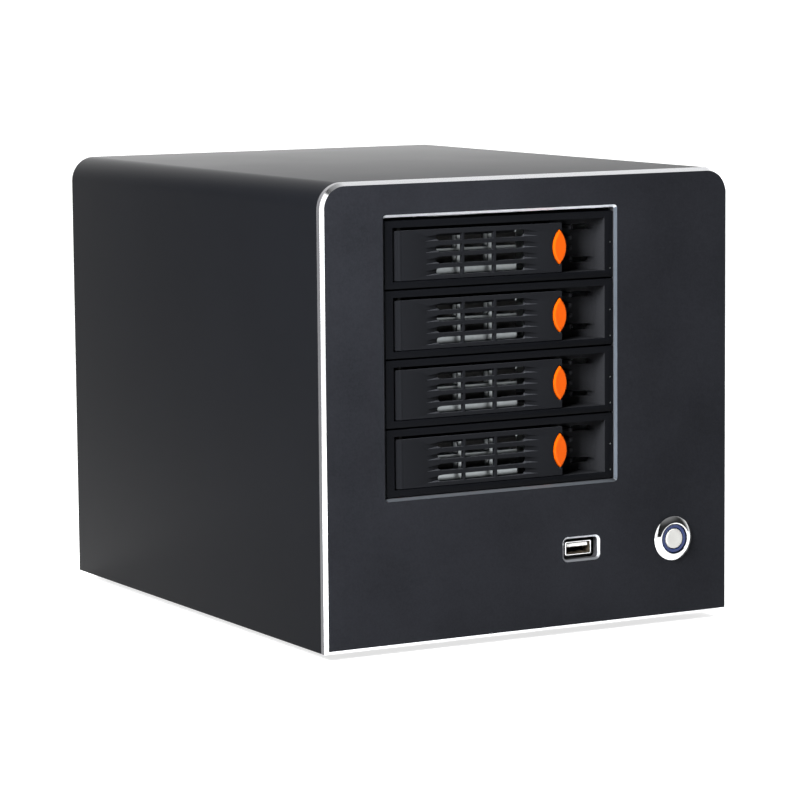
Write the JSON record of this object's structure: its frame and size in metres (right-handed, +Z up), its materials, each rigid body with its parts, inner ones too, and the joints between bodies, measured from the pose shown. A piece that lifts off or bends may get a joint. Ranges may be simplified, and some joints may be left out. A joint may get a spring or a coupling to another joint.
{
  "type": "nas enclosure",
  "caption": "Desktop network storage case with hot-swap drive trays behind swing levers, a front USB port, a lit power button and a rear fan.",
  "frame": {"origin": "middle of the overall box at the underside of the feet", "axes": "+Z up, +Y towards the rear, the trays and the power button face -Y"},
  "size_m": [0.2, 0.254, 0.198],
  "materials": {
    "coated_steel": "satin black powder coat on steel sheet",
    "anodised_plate": "fine bead-blasted bluish black anodised aluminium with bright cut edges",
    "zinc_steel": "zinc-plated steel sheet",
    "black_plastic": "fine-textured black moulded plastic",
    "orange_plastic": "orange moulded plastic",
    "chrome": "bright plated metal",
    "steel": "bright steel",
    "blue_lens": "translucent blue light ring",
    "grey_cap": "light grey satin",
    "circuit_board": "green solder mask",
    "aluminium": "mill finish",
    "rubber": "matt black"
  },
  "bodies": {
    "chassis": {"outer_cover": "coated_steel", "front_panel": "anodised_plate", "front_frame": "zinc_steel", "base_pan": "coated_steel", "rear_panel": "coated_steel", "io_shield": "zinc_steel", "cage_left_wall": "zinc_steel", "cage_right_wall": "zinc_steel", "cage_top_plate": "zinc_steel", "cage_floor_plate": "zinc_steel", "backplane_board": "circuit_board", "main_board": "circuit_board", "heat_sink": "aluminium", "memory_module": "circuit_board", "fan_frame": "black_plastic", "fan_guard": "chrome", "psu_case": "zinc_steel", "psu_power_inlet": "black_plastic", "psu_bracket": "zinc_steel", "power_button_bezel": "chrome", "power_button_ring": "blue_lens", "power_button_nut": "steel", "usb_receptacle": "chrome", "usb_board": "circuit_board", "foot_1": "rubber", "thumb_screw_1": "steel", "drive_receptacle_1": "black_plastic", "foot_2": "rubber", "thumb_screw_2": "steel", "drive_receptacle_2": "black_plastic", "foot_3": "rubber", "thumb_screw_3": "steel", "drive_receptacle_3": "black_plastic", "foot_4": "rubber", "thumb_screw_4": "steel", "drive_receptacle_4": "black_plastic"},
    "tray_1": {"drive_tray_1": "zinc_steel", "tray_bezel_1": "black_plastic", "lever_pin_1": "steel"},
    "lever_1": {"tray_lever_1": "black_plastic"},
    "release_1": {"release_button_1": "orange_plastic"},
    "tray_2": {"drive_tray_2": "zinc_steel", "tray_bezel_2": "black_plastic", "lever_pin_2": "steel"},
    "lever_2": {"tray_lever_2": "black_plastic"},
    "release_2": {"release_button_2": "orange_plastic"},
    "tray_3": {"drive_tray_3": "zinc_steel", "tray_bezel_3": "black_plastic", "lever_pin_3": "steel"},
    "lever_3": {"tray_lever_3": "black_plastic"},
    "release_3": {"release_button_3": "orange_plastic"},
    "tray_4": {"drive_tray_4": "zinc_steel", "tray_bezel_4": "black_plastic", "lever_pin_4": "steel"},
    "lever_4": {"tray_lever_4": "black_plastic"},
    "release_4": {"release_button_4": "orange_plastic"},
    "power_cap": {"power_button_cap": "grey_cap"},
    "case_fan": {"fan_rotor": "black_plastic"},
    "psu_fan": {"psu_rotor": "black_plastic"},
    "rocker": {"psu_rocker_switch": "black_plastic"}
  },
  "joints": [
    {"name": "tray_1_slide", "type": "slide", "parent": "chassis", "child": "tray_1", "axis": [0, -1, 0], "range_m": [0, 0.15]},
    {"name": "lever_1_hinge", "type": "hinge", "parent": "tray_1", "child": "lever_1", "pos_m": [-0.0622, -0.1212, 0.1669], "axis": [0, 0, -1], "range_deg": [0, 85]},
    {"name": "release_1_slide", "type": "slide", "parent": "tray_1", "child": "release_1", "axis": [1, 0, 0], "range_m": [0, 0.0025], "stiffness_N_per_m": 200},
    {"name": "tray_2_slide", "type": "slide", "parent": "chassis", "child": "tray_2", "axis": [0, -1, 0], "range_m": [0, 0.15]},
    {"name": "lever_2_hinge", "type": "hinge", "parent": "tray_2", "child": "lever_2", "pos_m": [-0.0622, -0.1212, 0.13795], "axis": [0, 0, -1], "range_deg": [0, 85]},
    {"name": "release_2_slide", "type": "slide", "parent": "tray_2", "child": "release_2", "axis": [1, 0, 0], "range_m": [0, 0.0025], "stiffness_N_per_m": 200},
    {"name": "tray_3_slide", "type": "slide", "parent": "chassis", "child": "tray_3", "axis": [0, -1, 0], "range_m": [0, 0.15]},
    {"name": "lever_3_hinge", "type": "hinge", "parent": "tray_3", "child": "lever_3", "pos_m": [-0.0622, -0.1212, 0.109], "axis": [0, 0, -1], "range_deg": [0, 85]},
    {"name": "release_3_slide", "type": "slide", "parent": "tray_3", "child": "release_3", "axis": [1, 0, 0], "range_m": [0, 0.0025], "stiffness_N_per_m": 200},
    {"name": "tray_4_slide", "type": "slide", "parent": "chassis", "child": "tray_4", "axis": [0, -1, 0], "range_m": [0, 0.15]},
    {"name": "lever_4_hinge", "type": "hinge", "parent": "tray_4", "child": "lever_4", "pos_m": [-0.0622, -0.1212, 0.08005], "axis": [0, 0, -1], "range_deg": [0, 85]},
    {"name": "release_4_slide", "type": "slide", "parent": "tray_4", "child": "release_4", "axis": [1, 0, 0], "range_m": [0, 0.0025], "stiffness_N_per_m": 200},
    {"name": "power_button_press", "type": "slide", "parent": "chassis", "child": "power_cap", "axis": [0, 1, 0], "range_m": [0, 0.0015], "stiffness_N_per_m": 600},
    {"name": "case_fan_spin", "type": "hinge", "parent": "chassis", "child": "case_fan", "pos_m": [-0.0143, 0.10625, 0.126], "axis": [0, 1, 0], "continuous": true},
    {"name": "psu_fan_spin", "type": "hinge", "parent": "chassis", "child": "psu_fan", "pos_m": [0.07325, 0.11225, 0.129], "axis": [0, 1, 0], "continuous": true},
    {"name": "psu_rocker_tip", "type": "hinge", "parent": "chassis", "child": "rocker", "pos_m": [0.07325, 0.12, 0.1535], "axis": [-1, 0, 0], "range_deg": [0, 20.6]}
  ]
}
